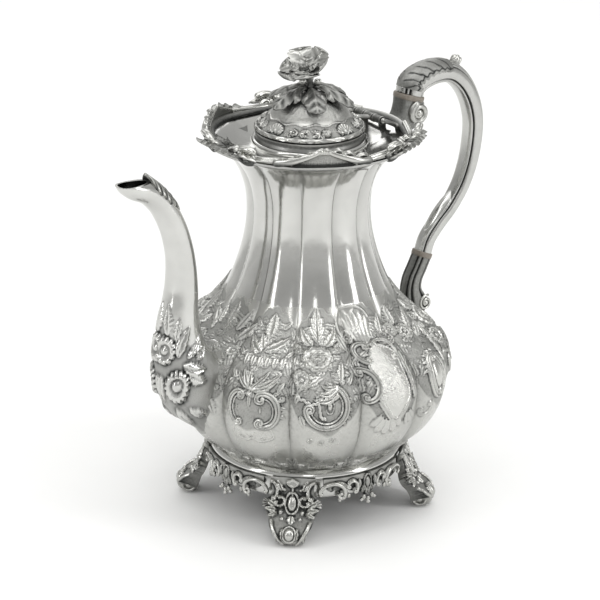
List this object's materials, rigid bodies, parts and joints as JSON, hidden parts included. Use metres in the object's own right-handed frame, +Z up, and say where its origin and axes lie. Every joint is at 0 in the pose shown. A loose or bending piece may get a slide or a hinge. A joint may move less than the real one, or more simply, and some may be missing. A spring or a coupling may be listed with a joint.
{
  "type": "coffee pot",
  "caption": "Lobed silver coffee pot with a hinged lid, blossom finial, swan-neck spout, scroll handle on ivory insulators, and scrolled feet.",
  "frame": {"origin": "on the pot's axis, at the table surface under the four toes", "axes": "+Z up the pot's axis, -X towards the spout, +X towards the handle"},
  "size_m": [0.2562, 0.1646, 0.2705],
  "materials": {
    "silver_chased": "antique polished silver, chased",
    "silver_burnished": "burnished silver",
    "silver_cast": "cast silver with oxidised recesses",
    "ivory": "aged polished ivory-coloured material"
  },
  "bodies": {
    "pot": {"bowl": "silver_chased", "neck": "silver_chased", "mouth_plate": "silver_burnished", "lid_collar": "silver_burnished", "rim_border": "silver_cast", "rim_shell_spout": "silver_cast", "rim_shell_front": "silver_cast", "rim_shell_rear": "silver_cast", "rim_shell_left": "silver_cast", "rim_shell_right": "silver_cast", "foot_ring": "silver_chased", "foot_1": "silver_cast", "foot_2": "silver_cast", "foot_3": "silver_cast", "foot_4": "silver_cast", "apron_1": "silver_cast", "apron_2": "silver_cast", "apron_3": "silver_cast", "apron_4": "silver_cast", "spout": "silver_chased", "spout_leaf": "silver_cast", "strainer": "silver_cast", "socket_upper": "silver_cast", "socket_lower": "silver_cast", "insulator_upper": "ivory", "insulator_lower": "ivory", "dowel_upper": "silver_burnished", "dowel_lower": "silver_burnished", "handle": "silver_chased", "handle_leaf": "silver_cast", "thumb_bud": "silver_cast", "hinge_bracket": "silver_chased", "hinge_pin": "silver_burnished"},
    "lid": {"lid_dome": "silver_chased", "lid_flange": "silver_burnished", "lid_hinge_leaf": "silver_chased", "finial_stud": "silver_burnished", "finial_washer": "silver_burnished", "finial_nut": "silver_burnished", "finial_leaves": "silver_cast", "finial_stem": "silver_chased", "finial_buds": "silver_cast", "finial_flower": "silver_chased"}
  },
  "joints": [
    {"name": "lid_hinge", "type": "hinge", "parent": "pot", "child": "lid", "pos_m": [0.037, 0, 0.2265], "axis": [0, 1, 0], "range_deg": [0, 80]}
  ]
}
